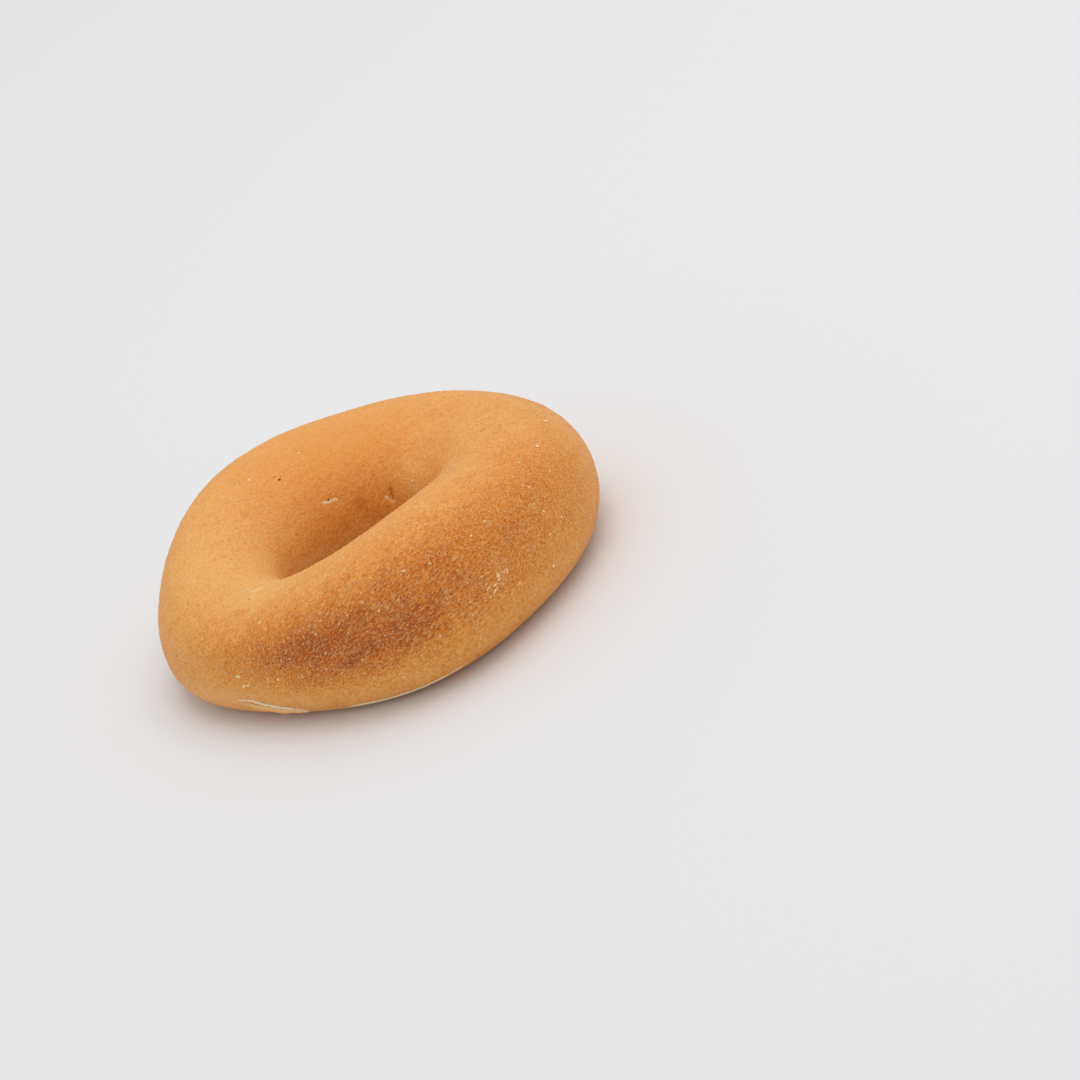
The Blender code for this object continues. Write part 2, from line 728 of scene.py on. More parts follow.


# Marks pressed into the dough; along the valley right of the hole and the slit's groove
# the change of browning is painted shade:
# (places along it, half width, depth, change of browning, paleness)
CREASES = (
    (
        ((220, 122), (218, 113), (215.5, 106), (212.5, 100), (209, 92)),
        1.5 * MM,
        0.6 * MM,
        -0.1,
        0.42,
    ),
    (((217, 83), (213, 79), (209, 74)), 1.1 * MM, 0.18 * MM, 0.0, 0.50),
    # Painted shade: the valley right of the hole, faintly darkened
    (((26, 150), (22, 126), (28, 105), (34, 86)), 7.0 * MM, 0.55 * MM, 0.02, 0.0),
    (((102, 154), (96, 155), (92, 155), (86, 157)), 0.9 * MM, 0.20 * MM, 0.0, 0.72),
    (((60, 162), (55, 168), (49, 173)), 1.0 * MM, 0.25 * MM, 0.0, 0.72),
    # Painted shade: the groove of the slit in the far wall, darkened
    (((53, 156), (52.5, 165), (52, 169)), 0.7 * MM, 0.40 * MM, 0.22, 0.0),
    (((32, 155), (31, 153)), 0.8 * MM, 0.0, 0.0, 0.70),
    (((251, 11), (254.5, 15), (258.5, 18.5), (262, 20.5)), 0.75 * MM, 0.12 * MM, 0.34, 0.0),
    (((216, -6), (221, -10.5), (224, -15), (229, -21), (234, -25)), 0.8 * MM, 0.55 * MM, 0.0, 0.62),
)

# Browning, and one paler patch of painted sheen: (angle, turn, spread in angle, spread in turn,
# strength)
TOASTING_AND_PAINTED_LIGHT = (
    (244, 30, 10, 12, 0.32),
    (254, 32, 25, 27, 0.34),
    (247, 9, 14, 10, 0.22),
    (268, 16, 11, 13, 0.24),
    (280, 34, 28, 28, 0.31),
    (300, 8, 16, 12, 0.08),
    (229, 24, 13, 20, 0.16),
    # Painted sheen: a paler patch for the haze seen along the near crest
    (222, 84, 14, 16, -0.12),
    (172, 90, 34, 34, -0.13),
    (170, 150, 44, 28, -0.22),
    (215, 150, 30, 30, -0.16),
    (305, 30, 20, 30, 0.14),
    (328, 30, 20, 34, 0.20),
    (270, 62, 40, 18, 0.08),
    (225, 34, 16, 20, 0.10),
    (213, 34, 12, 22, 0.08),
    (78, 160, 30, 22, 0.08),
    (76, 166, 5, 7, 0.20),
    (217, 71, 3, 3, 0.22),
    (214, 130, 26, 34, -0.20),
    (32, 150, 14, 26, -0.16),
    (205, -8, 26, 16, -0.16),
)
EVEN_TOAST = 0.20  # over the whole ring, before the patches
# Painted shade: browner down in the hole
HOLE_PAINTED_SHADE = 0.10  # more, down in the hole
LOW_TOAST = 0.04  # more, near the base
UNDERSIDE_TOAST = 0.42
UNDERSIDE_TURNS = (-130.0, -50.0)
SMOOTH_FAR_SIDE = (88, 105, 62, 60)  # the finest-grained crust: (angle, turn, their spreads)
BARE_BASE = (254, -34, 27, 5.5)  # skin that was covered: (angle, turn, their spreads)
BARE_BASE_PALENESS = 0.8
PALE_MARGIN = (-46.0, 8.0, 0.5)  # round the base: (turn, spread, paleness)

# Domes of dried skin: (angle, turn, length, width, height in millimetres)
BLISTERS = (
    (335.5, 53, 1.3, 0.9, 0.30),
    (352.5, 50, 1.7, 1.0, 0.30),
    (356, 52, 0.8, 0.6, 0.20),
    (2.5, 88.5, 0.9, 0.6, 0.20),
    (0, 96, 0.7, 0.5, 0.16),
    (320.5, 12.5, 0.7, 0.5, 0.16),
    (314, 11.5, 0.6, 0.5, 0.16),
    (310.5, -5.5, 1.1, 0.9, 0.35),
    (228, 57.5, 0.9, 0.6, 0.18),
    (232, 11.5, 0.9, 0.6, 0.18),
    (239.5, 10.5, 0.6, 0.5, 0.14),
    (263.5, -8.5, 0.7, 0.4, 0.12),
    (31.5, 154, 0.9, 0.7, 0.18),
    (290.5, 90, 0.9, 0.40, 0.14),
    (286, 76, 1.0, 0.40, 0.14),
    (269.5, 106, 0.9, 0.42, 0.14),
    (261.5, 89.5, 0.7, 0.4, 0.14),
    (248, 109, 1.0, 0.45, 0.15),
    (256, 92.5, 0.8, 0.35, 0.12),
    (124.5, 110, 0.9, 0.7, 0.12),
    (99, 112, 0.7, 0.6, 0.10),
)

# Thin scabs of skin that lie flat: (angle, turn, length, width, height in millimetres)
SCUFFS = (
    (219, 16, 1.7, 0.75, 0.10),
    (220, 7.5, 1.5, 0.6, 0.06),
    (221.5, 8, 1.3, 0.5, 0.05),
)
SCUFF_CLIMB = 0.12  # how far a scuff's length climbs for its run round the ring
FLAKY_PATCH = ((297, 19), (291, 9))  # its two ends
FLAKY_HALF_WIDTH = 5.0  # in degrees of angle

# Scorched specks: (angle, turn, length in millimetres)
CHAR_SPECKS = (
    (114, 124.5, 0.62),
    (115, 120.5, 0.45),
    (112.5, 123, 0.28),
    (96, 153.5, 0.60),
    (217.5, 85.5, 0.45),
    (196, 70, 0.38),
    (194, 24.5, 0.42),
    (282.5, 17, 0.42),
    (324, 10.5, 0.42),
)

# Splits that show bare dough: (places along it, widest half width in millimetres, raggedness)
SPLITS = (
    (((218, 116), (216.4, 109), (214.5, 104), (211.5, 98)), 0.40, 0.75),
    (((215, -7), (219, -10), (222, -14), (226, -20), (230, -23.5), (235, -25.5)), 0.75, 0.9),
    (((247, -29), (256, -31.5), (262, -32.5), (267, -32), (272, -30), (278, -26.5)), 1.45, 0.85),
)
# The slit in the far wall, along which a dark ribbon of painted shade is laid
SLIT = ((52.9, 157.5), (53.2, 164), (52.4, 168))
TORN_LIP = ((217, -10), (219, -13), (223, -18), (227, -23.5), (231, -25.5), (235.5, -26.5))


def crease_field(surface, places, half_width):
    """1 along the middle of a crease and 0 beyond its edges, fading at both ends."""
    gap, share = surface.off_path(places)
    fade = ease(share, -0.05, 0.15) * (1.0 - ease(share, 0.7, 1.02))
    return np.exp(-((gap / half_width) ** 2)) * fade


def press_relief(surface):
    """Presses the creases into the crust."""
    depth = np.zeros(len(surface.points))
    for places, half_width, deep, _, _ in CREASES:
        depth += deep * crease_field(surface, places, half_width)
    surface.points -= surface.normals * depth[:, None]
    surface.points[:, 2] = np.maximum(surface.points[:, 2], 0.0)
    surface.mesh.vertices.foreach_set("co", surface.points.ravel())
    surface.mesh.update()


def paint_crust(surface):
    """Keeps how toasted each point is, with painted shade in the hole and along two creases and a
    painted highlight near the crest, how pale it is, and how thickly flecks lie there.
    """
    toast_and_painted_light = np.full(len(surface.points), EVEN_TOAST)
    for angle, turn, spread_angle, spread_turn, strength in TOASTING_AND_PAINTED_LIGHT:
        toast_and_painted_light += strength * surface.patch(angle, turn, spread_angle, spread_turn)
    # Painted shade: browner deeper into the hole
    toast_and_painted_light += HOLE_PAINTED_SHADE * ease(surface.turn, 100.0, 150.0)
    low = 1.0 - ease(surface.points[:, 2], 1.0 * MM, 9.0 * MM)
    inner_edge, outer_edge = UNDERSIDE_TURNS
    under = (surface.turn < outer_edge) & (surface.turn > inner_edge)
    toast_and_painted_light += LOW_TOAST * low * (1.0 - under)
    pale = np.zeros(len(surface.points))
    # Each crease's change of browning, painted shade in two of them, and its pale core
    for places, half_width, _, browning_and_shade, paleness in CREASES:
        if browning_and_shade:
            toast_and_painted_light += browning_and_shade * crease_field(surface, places, half_width)
        if paleness:
            core = crease_field(surface, places, 0.7 * half_width)
            pale = np.maximum(pale, paleness * core)
    toast_and_painted_light[under] = UNDERSIDE_TOAST
    pale = np.maximum(pale, BARE_BASE_PALENESS * surface.patch(*BARE_BASE))
    turn, spread, paleness = PALE_MARGIN
    pale = np.maximum(pale, paleness * np.exp(-(((surface.turn - turn) / spread) ** 2)))
    grainy = 0.88 + 0.12 * (1.0 - ease(surface.turn, 15.0, 60.0))
    grainy *= 1.0 - 0.70 * surface.patch(*SMOOTH_FAR_SIDE)
    surface.write("grainy", grainy)
    surface.write("toast_and_painted_light", toast_and_painted_light)
    surface.write("pale", pale)
    above = ease(surface.turn, -35.0, 5.0) * (1.0 - ease(surface.turn, 125.0, 165.0))
    surface.write("fleck_density", above * grainy * (0.55 + 0.45 * ease(toast_and_painted_light, 0.2, 0.6)))


# ---------------------------------------------------------------- finishes


def new_material(name):
    material = bpy.data.materials.new(name)
    material.use_nodes = True
    shader = material.node_tree.nodes["Principled BSDF"]
    return material, material.node_tree, shader


def attribute_value(tree, name):
    node = add_node(tree, "ShaderNodeAttribute", attribute_name=name)
    return Value(tree, node.outputs["Fac"])


def mix_colours(tree, share, first, second):
    node = add_node(tree, "ShaderNodeMix", data_type="RGBA")
    feed(node.inputs["Factor"], share)
    for slot, colour in ((node.inputs[6], first), (node.inputs[7], second)):
        feed(slot, colour if isinstance(colour, bpy.types.NodeSocket) else (*colour, 1.0))
    return node.outputs[2]


def bump(tree, height, distance, below=None):
    node = add_node(tree, "ShaderNodeBump", {"Strength": 1.0, "Distance": distance})
    feed(node.inputs["Height"], height)
    if below is not None:
        feed(node.inputs["Normal"], below)
    return node.outputs["Normal"]


def crust_colour(tree, toast_and_painted_light, crust):
    """The crust's colour for how toasted it is, painted shade and painted highlight included."""
    ramp = add_node(tree, "ShaderNodeValToRGB", {"Fac": toast_and_painted_light})
    stops = ((0.0, crust.light_gold), (0.28, crust.gold), (0.58, crust.tan), (0.95, crust.toasted))
    while len(ramp.color_ramp.elements) < len(stops):
        ramp.color_ramp.elements.new(1.0)
    for element, (share, colour) in zip(ramp.color_ramp.elements, stops):
        element.position = share
        element.color = (*colour, 1.0)
    return ramp.outputs["Color"]


def rolled_place(tree):
    """Object coordinates, turned and stretched so that a pattern runs the way of the rolling."""
    turned = Vector(ROLLING_WAY).to_track_quat("X", "Z").to_euler()
    mapping = add_node(
        tree,
        "ShaderNodeMapping",
        {
            "Vector": tree.nodes.new("ShaderNodeTexCoord").outputs["Object"],
            "Rotation": tuple(turned),
            "Scale": (2.6, 1.0, 1.0),
        },
        vector_type="TEXTURE",
    )
    return mapping.outputs["Vector"]


def crust_finish(crust):
    """Satin crust: gold to toasted by how long it baked, darker with painted shade and paler with a
    painted highlight, with grain and pale dough at splits.
    """
    material, tree, shader = new_material("baked_crust")
    place = tree.nodes.new("ShaderNodeTexCoord").outputs["Object"]
    rolled = rolled_place(tree)
    broad = noise_value(tree, place, 55.0, detail=3.0)
    middle = noise_value(tree, rolled, 330.0, detail=4.0, roughness=0.6)
    grain = noise_value(tree, rolled, 2700.0, detail=2.0, roughness=0.7)
    dashes = noise_value(tree, rolled, 2300.0, detail=1.0, roughness=0.6)
    # The crust's toasting, with its painted shade and painted highlight
    baked = attribute_value(tree, "toast_and_painted_light")
    grainy = attribute_value(tree, "grainy")
    mottling = (middle - 0.5) * 0.55 + (grain - 0.5) * 1.9
    toast_and_painted_light = baked + (broad - 0.5) * 0.16 + mottling * (baked * 0.15 + 0.78) * grainy
    ragged = attribute_value(tree, "pale") + (middle - 0.5) * 0.8 + (grain - 0.5) * 0.5
    dry = dashes.ease(0.53, 0.66) * (0.62 - baked * 0.25) * grainy
    colour = mix_colours(tree, dry, crust_colour(tree, toast_and_painted_light, crust), crust.light_gold)
    colour = mix_colours(tree, ragged.ease(0.46, 0.70), colour, crust.dough)
    feed(shader.inputs["Base Color"], colour)
    feed(shader.inputs["Roughness"], (grain - 0.5) * 0.25 + crust.roughness)
    shader.inputs["Specular IOR Level"].default_value = crust.gloss
    shader.inputs["Sheen Weight"].default_value = crust.bloom
    shader.inputs["Sheen Roughness"].default_value = 0.4
    shader.inputs["Sheen Tint"].default_value = (1.0, 0.80, 0.68, 1.0)
    fine = bump(tree, grain + dashes, 0.17 * MM)
    feed(shader.inputs["Normal"], bump(tree, middle, 0.16 * MM, below=fine))
    return material


def fleck_finish(name, crust, faintest, strongest):
    """Dry skin, paler than the crust under it by a share that differs from fleck to fleck."""
    material, tree, shader = new_material(name)
    # The crust's colour under the fleck, painted shade and painted highlight included
    baked = crust_colour(tree, attribute_value(tree, "toast_and_painted_light"), crust)
    share = attribute_value(tree, "tone") * (strongest - faintest) + faintest
    feed(shader.inputs["Base Color"], mix_colours(tree, share, baked, crust.dry_skin))
    shader.inputs["Roughness"].default_value = 0.6
    shader.inputs["Specular IOR Level"].default_value = crust.gloss
    return material


def skin_finish(name, edge, middle):
    """Dried skin: one colour at its rim and another in the middle, mottled and finely rough."""
    material, tree, shader = new_material(name)
    place = tree.nodes.new("ShaderNodeTexCoord").outputs["Object"]
    mottle = noise_value(tree, place, 1900.0, detail=3.0, roughness=0.65)
    share = attribute_value(tree, "inward") + (mottle - 0.5) * 0.7
    feed(shader.inputs["Base Color"], mix_colours(tree, share.ease(0.1, 0.8), edge, middle))
    feed(shader.inputs["Roughness"], (mottle - 0.5) * 0.3 + 0.6)
    shader.inputs["Specular IOR Level"].default_value = 0.2
    feed(shader.inputs["Normal"], bump(tree, mottle, 0.08 * MM))
    return material


# ---------------------------------------------------------------- scattered flecks

# A fleck's shape: (sides, flat top's radius, least width for its length, height for its width)
DOME_SHAPE = (7, 0.22, 0.40, 0.20)
SLIVER_SHAPE = (4, 0.0, 0.22, 0.30)
# How far flecks stand out from the crust's colour: (faintest, strongest)
DOME_TONES = (0.25, 0.85)
SLIVER_TONES = (0.05, 0.62)


def fleck_tree(name, sides, flat_top, slimness, rise, material):
    """Low cones scattered over the crust along the way it was rolled, in mixed sizes and tones."""
    tree, given = new_tree(
        name,
        [("Crust", "Object"), ("Density", "Float"), ("Largest", "Float"), ("Seed", "Int")],
    )
    crust = add_node(tree, "GeometryNodeObjectInfo", {"Object": given["Crust"]})
    position = tree.nodes.new("GeometryNodeInputPosition").outputs[0]
    clumps = noise_value(tree, position, 260.0, detail=2.0).ease(0.35, 0.68) * 1.5 + 0.3
    scatter = add_node(
        tree,
        "GeometryNodeDistributePointsOnFaces",
        {
            "Mesh": crust.outputs["Geometry"],
            "Density": recall(tree, "fleck_density") * clumps * Value(tree, given["Density"]),
            "Seed": given["Seed"],
        },
        distribute_method="RANDOM",
    )
    cone = add_node(
        tree,
        "GeometryNodeMeshCone",
        {"Vertices": sides, "Radius Top": flat_top, "Radius Bottom": 0.5, "Depth": 1.0},
        fill_type="NGON",
    )
    length = random_value(tree, given["Seed"], 0.0, 1.0).math("POWER", 3.0) * 0.75 + 0.25
    length = length * Value(tree, given["Largest"])
    width = length * random_value(tree, given["Seed"], slimness, 2.0 * slimness)
    shape = add_node(
        tree, "ShaderNodeCombineXYZ", {"X": length, "Y": width, "Z": width * rise}
    )
    along = add_node(
        tree,
        "FunctionNodeAlignRotationToVector",
        {"Rotation": scatter.outputs["Rotation"], "Vector": ROLLING_WAY},
        axis="X",
        pivot_axis="Z",
    )
    spin = add_node(
        tree, "ShaderNodeCombineXYZ", {"Z": random_value(tree, given["Seed"], -0.6, 0.6)}
    )
    turned = add_node(
        tree,
        "FunctionNodeRotateRotation",
        {"Rotation": along.outputs[0], "Rotate By": spin.outputs[0]},
        rotation_space="LOCAL",
    )
    cones = add_node(
        tree,
        "GeometryNodeInstanceOnPoints",
        {
            "Points": scatter.outputs["Points"],
            "Instance": cone.outputs["Mesh"],
            "Rotation": turned.outputs[0],
            "Scale": shape.outputs[0],
        },
    )
    toned = add_node(
        tree,
        "GeometryNodeStoreNamedAttribute",
        {"Geometry": cones.outputs[0], "Name": "tone"},
        data_type="FLOAT",
        domain="INSTANCE",
    )
    feed(toned.inputs["Value"], random_value(tree, given["Seed"], 0.0, 1.0))
    end_tree(tree, toned.outputs[0], material)
    return tree


def random_value(tree, seed, low, high):
    """A random number for each point, different for every node that asks for one."""
    shifted = Value(tree, seed) + float(len(tree.nodes))
    node = add_node(tree, "FunctionNodeRandomValue", {"Seed": shifted}, data_type="FLOAT")
    for slot in node.inputs:
        if slot.enabled and slot.name == "Min":
            slot.default_value = low
        if slot.enabled and slot.name == "Max":
            slot.default_value = high
    output = next(out for out in node.outputs if out.enabled)
    return Value(tree, output)


# ---------------------------------------------------------------- marks laid on the crust


class Pile:
    """Gathers small closed shapes into one mesh, with how far inward each point is on its shape."""

    def __init__(self, seed):
        self.points = []
        self.faces = []
        self.inward = []
        self.random = np.random.default_rng(seed)

    def ragged(self, count, knots, low, high):
        """A wandering line of count numbers between low and high."""
        levels = self.random.uniform(low, high, knots + 1)
        return np.interp(np.linspace(0.0, knots, count), np.arange(knots + 1), levels)

    def add_rings(self, rings, inward):
        """A closed shape from loops of points that follow each other from one end to the other."""
        start = len(self.points)
        sides = len(rings[0])
        for ring, share in zip(rings, inward):
            self.points.extend(ring)
            self.inward.extend(np.broadcast_to(share, sides))
        for row in range(len(rings) - 1):
            for side in range(sides):
                first = start + row * sides + side
                second = start + row * sides + (side + 1) % sides
                self.faces.append((first, second, second + sides, first + sides))
        last = start + (len(rings) - 1) * sides
        self.faces.append(tuple(range(start, start + sides))[::-1])
        self.faces.append(tuple(range(last, last + sides)))

    def add_dome(self, spot, normal, along, length, width, height, sides=14, tilt=0.0):
        """A low uneven dome that sits a little way into the crust."""
        normal = normal + tilt * along
        normal /= np.linalg.norm(normal)
        along = along - normal * (along @ normal)
        along /= np.linalg.norm(along)
        across = np.cross(normal, along)
        turns = np.linspace(0.0, 2.0 * math.pi, sides, endpoint=False)
        uneven = 1.0 + self.random.uniform(-0.22, 0.22, sides)
        uneven = (uneven + np.roll(uneven, 1)) / 2.0
        rings = []
        levels = ((0.86, -0.5), (1.0, 0.0), (0.86, 0.55), (0.52, 0.9), (0.16, 1.0))
        for reach, level in levels:
            reach_along = 0.5 * length * reach * uneven * np.cos(turns)
            reach_across = 0.5 * width * reach * uneven * np.sin(turns)
            bumps = 1.0 + self.random.uniform(-0.12, 0.12, sides)
            rings.append(
                spot
                + reach_along[:, None] * along
                + reach_across[:, None] * across
                + (level * height * bumps)[:, None] * normal
            )
        self.add_rings(rings, (0.0, 0.0, 0.35, 0.8, 1.0))

    def add_ribbon(self, spots, normals, half_width, height, raggedness):
        """A tapering lens-shaped ribbon with ragged edges, laid along spots on the crust."""
        count = len(spots)
        share = np.linspace(0.0, 1.0, count)
        taper = np.sqrt(np.clip(4.0 * share * (1.0 - share), 0.0, 1.0)) * 0.96 + 0.04
        ways = np.gradient(spots, axis=0)
        ways /= np.linalg.norm(ways, axis=1)[:, None]
        sides = np.cross(normals, ways)
        left = half_width * taper * self.ragged(count, count - 2, 1.0 - raggedness, 1.0)
        right = half_width * taper * self.ragged(count, count - 2, 1.0 - raggedness, 1.0)
        rise = height * taper * self.ragged(count, count // 2, 0.7, 1.2)
        profile = ((0.0, -1.5), (1.0, -0.2), (0.55, 0.75), (0.0, 1.0), (-0.55, 0.75), (-1.0, -0.2))
        rings = []
        for number in range(count):
            ring = []
            for reach, level in profile:
                width = left[number] if reach > 0 else right[number]
                ring.append(
                    spots[number]
                    + reach * width * sides[number]
                    + level * rise[number] * normals[number]
                )
            rings.append(ring)
        self.add_rings(rings, [np.array((0.0, 0.0, 0.6, 1.0, 0.6, 0.0))] * count)

    def finish(self, name, material):
        """The pile as one piece, with its faces turned outwards."""
        mesh = bpy.data.meshes.new(name)
        mesh.from_pydata([tuple(point) for point in self.points], [], self.faces)
        layer = mesh.attributes.new("inward", "FLOAT", "POINT")
        layer.data.foreach_set("value", np.array(self.inward, dtype=np.float32))
        shell = bmesh.new()
        shell.from_mesh(mesh)
        bmesh.ops.recalc_face_normals(shell, faces=shell.faces)
        shell.to_mesh(mesh)
        shell.free()
        piece = new_piece(name, mesh, material)
        mesh.shade_smooth()
        hand_over(piece)
        return piece


def crust_surface():
    """The finished crust's points and fields."""
    return Surface(bpy.data.objects["bagel_crust"].data)


def trace(surface, places, step):
    """Evenly spaced spots and normals on the crust along a path through places."""
    corners = np.array(places, dtype=float)
    ends = np.array([surface.place(angle, turn)[0] for angle, turn in places])
    run = np.concatenate(([0.0], np.cumsum(np.linalg.norm(np.diff(ends, axis=0), axis=1))))
    marks = np.linspace(0.0, run[-1], max(8, int(run[-1] / step)))
    angles = np.interp(marks, run, corners[:, 0])
    turns = np.interp(marks, run, corners[:, 1])
    found = [surface.place(angle, turn) for angle, turn in zip(angles, turns)]
    spots = np.array([spot for spot, _ in found])
    normals = np.array([normal for _, normal in found])
    for _ in range(3):
        spots[1:-1] = (spots[:-2] + 2.0 * spots[1:-1] + spots[2:]) / 4.0
        normals[1:-1] = normals[:-2] + 2.0 * normals[1:-1] + normals[2:]
    normals /= np.linalg.norm(normals, axis=1)[:, None]
    return spots, normals


# ---------------------------------------------------------------- operators


class BAGEL_OT_crust(bpy.types.Operator):
    """Grow the ring of dough, press its creases and bake its crust"""

    bl_idname = "bagel.crust"
    bl_label = "Baked Crust"

    def execute(self, context):
        dough = context.scene.bagel_dough
        material = crust_finish(context.scene.bagel_crust)
        values = {
            "Length": dough.length,
            "Depth": dough.depth,
            "Centre": (*dough.centre, 0.0),
            "Crest Height": dough.crest_height,
            "Hole Length": dough.hole_length,
            "Hole Depth": dough.hole_depth,
            "Hole Centre": (*dough.hole_centre, 0.0),
            "Waist Height": dough.waist_height,
            "Throat Height": dough.throat_height,
            "Crest Share": dough.crest_share,
            "Underside Outer": dough.underside_outer,
            "Underside Inner": dough.underside_inner,
            "Around Ring": dough.around_ring,
            "Around Section": dough.around_section,
            "Unevenness": dough.unevenness,
            "Pebbling": dough.pebbling,
        }
        crust = grow("bagel_crust", dough_tree(material), values, material)
        surface = Surface(crust.data)
        press_relief(surface)
        surface = Surface(crust.data)
        paint_crust(surface)
        crust.data.shade_smooth()
        hand_over(crust, replaces=["bagel"])
        return {"FINISHED"}


class BAGEL_OT_flecks(bpy.types.Operator):
    """Scatter the pale domes and slivers over the crust"""

    bl_idname = "bagel.flecks"
    bl_label = "Pale Flecks"

    def execute(self, context):
        flecks = context.scene.bagel_flecks
        crust = context.scene.bagel_crust
        kinds = (
            ("crust_domes", DOME_SHAPE, flecks.domes, flecks.largest_dome, DOME_TONES),
            ("crust_slivers", SLIVER_SHAPE, flecks.slivers, flecks.largest_sliver, SLIVER_TONES),
        )
        for number, (name, shape, density, largest, tones) in enumerate(kinds):
            material = fleck_finish(name, crust, *tones)
            values = {
                "Crust": bpy.data.objects["bagel_crust"],
                "Density": density,
                "Largest": largest,
                "Seed": flecks.seed + number,
            }
            tree = fleck_tree(name.replace("_", " ").title(), *shape, material)
            piece = grow(name, tree, values, material)
            piece.data.shade_smooth()
            hand_over(piece)
        return {"FINISHED"}


class BAGEL_OT_blisters(bpy.types.Operator):
    """Raise the larger blisters, the scuffs and the flaky patch of skin"""

    bl_idname = "bagel.blisters"
    bl_label = "Blisters and Flakes"

    def execute(self, context):
        details = context.scene.bagel_details
        crust = context.scene.bagel_crust
        surface = crust_surface()
        way = np.array(ROLLING_WAY)
        blisters = Pile(details.seed)
        for angle, turn, length, width, height in BLISTERS:
            spot, normal = surface.place(angle, turn)
            size = np.array((length, width, height * details.proudness)) * MM
            blisters.add_dome(spot, normal, way, *size)
        blisters.finish("crust_blisters", skin_finish("blistered_skin", crust.gold, crust.dough))
        flakes = Pile(details.seed + 1)
        for angle, turn, length, width, height in SCUFFS:
            spot, normal = surface.place(angle, turn)
            size = np.array((length, width, height * details.proudness)) * MM
            way_round = math.radians(angle)
            round_ring = np.array((-math.sin(way_round), math.cos(way_round), SCUFF_CLIMB))
            flakes.add_dome(spot, normal, round_ring, *size)
        (angle, turn), (last_angle, last_turn) = FLAKY_PATCH
        for _ in range(details.flakes):
            share = flakes.random.uniform()
            off = FLAKY_HALF_WIDTH * flakes.random.normal() * 0.35
            spot, normal = surface.place(
                angle + share * (last_angle - angle) + off, turn + share * (last_turn - turn)
            )
            length = flakes.random.uniform(0.5, 1.7)
            size = np.array((length, length * flakes.random.uniform(0.16, 0.32), 0.08)) * MM
            lean = way + flakes.random.uniform(-0.35, 0.35, 3)
            tilt = flakes.random.uniform(0.0, 0.25)
            flakes.add_dome(spot, normal, lean, *size, sides=9, tilt=tilt)
        flakes.finish("dry_flakes", skin_finish("flaky_skin", crust.gold, crust.dough))
        return {"FINISHED"}


class BAGEL_OT_splits(bpy.types.Operator):
    """Lay bare dough along the splits, and hang the torn lip at the base"""

    bl_idname = "bagel.splits"
    bl_label = "Splits and Torn Lip"

    def execute(self, context):
        details = context.scene.bagel_details
        crust = context.scene.bagel_crust
        surface = crust_surface()
        splits = Pile(details.seed + 2)
        for places, half_width, raggedness in SPLITS:
            spots, normals = trace(surface, places, 0.3 * MM)
            splits.add_ribbon(spots, normals, half_width * MM, 0.16 * MM, raggedness)
        splits.finish("bare_splits", skin_finish("bare_dough", crust.dough, crust.bare))
        spots, normals = trace(surface, TORN_LIP, 0.35 * MM)
        ways = np.gradient(spots, axis=0)
        ways /= np.linalg.norm(ways, axis=1)[:, None]
        hang = np.cross(ways, normals)
        hang *= np.sign(-hang[:, 2:3].mean())
        lip = Pile(details.seed + 3)
        middle = spots + hang * 0.18 * details.lip_reach + normals * 0.20 * MM
        lean = normals - 0.25 * hang
        lean /= np.linalg.norm(lean, axis=1)[:, None]
        lip.add_ribbon(middle, lean, 0.5 * details.lip_reach, 0.35 * MM, 0.55)
        lip.finish("torn_lip", skin_finish("torn_skin", crust.bare, crust.light_gold))
        return {"FINISHED"}


class BAGEL_OT_char(bpy.types.Operator):
    """Set the scorched specks, and a dark ribbon of painted shade along the slit in the far wall"""

    bl_idname = "bagel.char"
    bl_label = "Char Specks"

    def execute(self, context):
        details = context.scene.bagel_details
        surface = crust_surface()
        char = Pile(details.seed + 4)
        for angle, turn, length in CHAR_SPECKS:
            spot, normal = surface.place(angle, turn)
            wide = length * char.random.uniform(0.6, 0.95)
            size = np.array((length, wide, 0.10)) * MM
            char.add_dome(spot, normal, np.array(ROLLING_WAY), *size, sides=9)
        # Painted shade: a thin dark ribbon down the slit in the far wall
        spots, normals = trace(surface, SLIT, 0.25 * MM)
        char.add_ribbon(spots, normals, 0.09 * MM, 0.02 * MM, 0.5)
        edge = tuple(3.0 * part for part in details.char)
        char.finish("char_specks", skin_finish("scorched_skin_and_slit_shade", edge, details.char))
        return {"FINISHED"}


FLOOR_WIDTH = 6.0
FLOOR_GAP = 0.1 * MM  # between the table top and the underside
SOFTBOX_DISTANCE = 1.3
SOFTBOX_SIZE = 1.1


class BAGEL_OT_stage(bpy.types.Operator):
    """Lay the pale table and set up the soft light and the camera"""

    bl_idname = "bagel.stage"
    bl_label = "Pale Studio"

    def execute(self, context):
        studio = context.scene.bagel_studio
        make_floor(studio)
        camera = make_camera(context.scene, studio)
        make_lights(context.scene, studio, camera)
        context.scene.view_settings.view_transform = "Standard"
        return {"FINISHED"}


def make_floor(studio):
    """A wide pale table top just under the bagel."""
    half = FLOOR_WIDTH / 2
    mesh = bpy.data.meshes.new("table_top")
    corners = [(-half, -half, 0), (half, -half, 0), (half, half, 0), (-half, half, 0)]
    mesh.from_pydata(corners, [], [(0, 1, 2, 3)])
    mesh.transform(Matrix.Translation((0, 0, -FLOOR_GAP)))
    material, _, shader = new_material("table_top")
    shader.inputs["Base Color"].default_value = (*studio.floor_colour, 1.0)
    shader.inputs["Roughness"].default_value = 0.7
    shader.inputs["Specular IOR Level"].default_value = 0.2
    floor = new_piece("table_top", mesh, material)


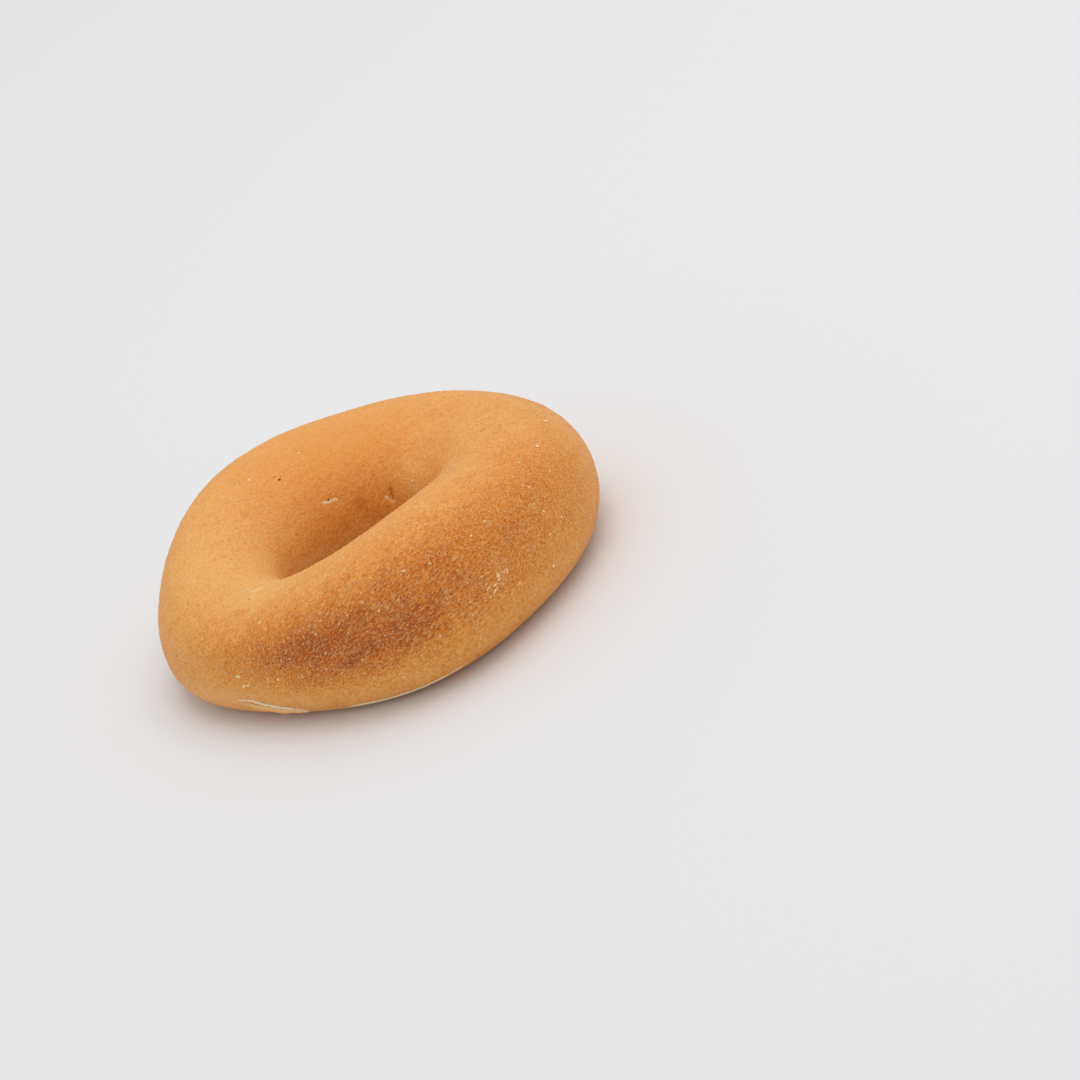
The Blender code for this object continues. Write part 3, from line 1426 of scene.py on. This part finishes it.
def make_camera(scene, studio):
    """Looks at the bagel's front from above, rolled, with the bagel left of the middle."""
    forward = Vector((0.0, math.cos(studio.elevation), -math.sin(studio.elevation)))
    pose = forward.to_track_quat("-Z", "Y").to_matrix().to_4x4()
    pose @= Matrix.Rotation(-studio.roll, 4, "Z")
    pose @= Matrix.Rotation(-studio.aim_right, 4, "Y")
    pose @= Matrix.Rotation(-studio.aim_down, 4, "X")
    data = bpy.data.cameras.new("portrait_camera")
    data.sensor_width = 36.0
    data.lens = studio.lens
    data.clip_start = 0.02
    data.clip_end = 20.0
    camera = bpy.data.objects.new("portrait_camera", data)
    standpoint = Vector(studio.look_at) - forward * studio.distance
    camera.matrix_world = Matrix.Translation(standpoint) @ pose
    scene.collection.objects.link(camera)
    scene.camera = camera
    return camera


def add_softbox(scene, name, direction, distance, size, power):
    """A square area lamp that looks at the bagel from a direction."""
    data = bpy.data.lights.new(name, "AREA")
    data.energy = power
    data.size = size
    lamp = bpy.data.objects.new(name, data)
    lamp.location = direction.normalized() * distance
    lamp.rotation_mode = "QUATERNION"
    lamp.rotation_quaternion = (-direction).to_track_quat("-Z", "Y")
    scene.collection.objects.link(lamp)


def make_lights(scene, studio, camera):
    """One large overhead softbox, square to the picture, in an evenly lit room."""
    axes = camera.matrix_world.to_3x3()
    picture_up = axes @ Vector((0, 1, 0))
    picture_left = axes @ Vector((-1, 0, 0))
    to_camera = axes @ Vector((0, 0, 1))
    overhead = picture_up + picture_left * 0.15 + to_camera * 0.4
    add_softbox(
        scene,
        "overhead_softbox",
        overhead,
        SOFTBOX_DISTANCE,
        SOFTBOX_SIZE,
        studio.key_strength,
    )
    world = bpy.data.worlds.new("pale_room")
    scene.world = world
    world.use_nodes = True
    background = world.node_tree.nodes["Background"]
    background.inputs["Color"].default_value = (1.0, 0.99, 0.98, 1.0)
    background.inputs["Strength"].default_value = studio.sky_strength


class BAGEL_PT_sidebar(bpy.types.Panel):
    """The bagel's pieces, in the order that they are made"""

    bl_label = "Plain Bagel"
    bl_idname = "BAGEL_PT_sidebar"
    bl_space_type = "VIEW_3D"
    bl_region_type = "UI"
    bl_category = "Bagel"

    def draw(self, context):
        for operator in OPERATORS:
            self.layout.operator(operator.bl_idname)


OPERATORS = (
    BAGEL_OT_crust,
    BAGEL_OT_flecks,
    BAGEL_OT_blisters,
    BAGEL_OT_splits,
    BAGEL_OT_char,
    BAGEL_OT_stage,
)
SETTINGS = {
    "bagel_dough": DoughSettings,
    "bagel_crust": CrustSettings,
    "bagel_flecks": FleckSettings,
    "bagel_details": DetailSettings,
    "bagel_studio": StudioSettings,
}


def register():
    for group in SETTINGS.values():
        bpy.utils.register_class(group)
    for name, group in SETTINGS.items():
        setattr(bpy.types.Scene, name, PointerProperty(type=group))
    for item in (*OPERATORS, BAGEL_PT_sidebar):
        bpy.utils.register_class(item)


def unregister():
    for item in (BAGEL_PT_sidebar, *OPERATORS):
        bpy.utils.unregister_class(item)
    for name in SETTINGS:
        delattr(bpy.types.Scene, name)
    for group in SETTINGS.values():
        bpy.utils.unregister_class(group)


def main():
    register()
    bpy.ops.bagel.crust()
    bpy.ops.bagel.flecks()
    bpy.ops.bagel.blisters()
    bpy.ops.bagel.splits()
    bpy.ops.bagel.char()
    bpy.ops.bagel.stage()


if __name__ == "__main__":
    main()
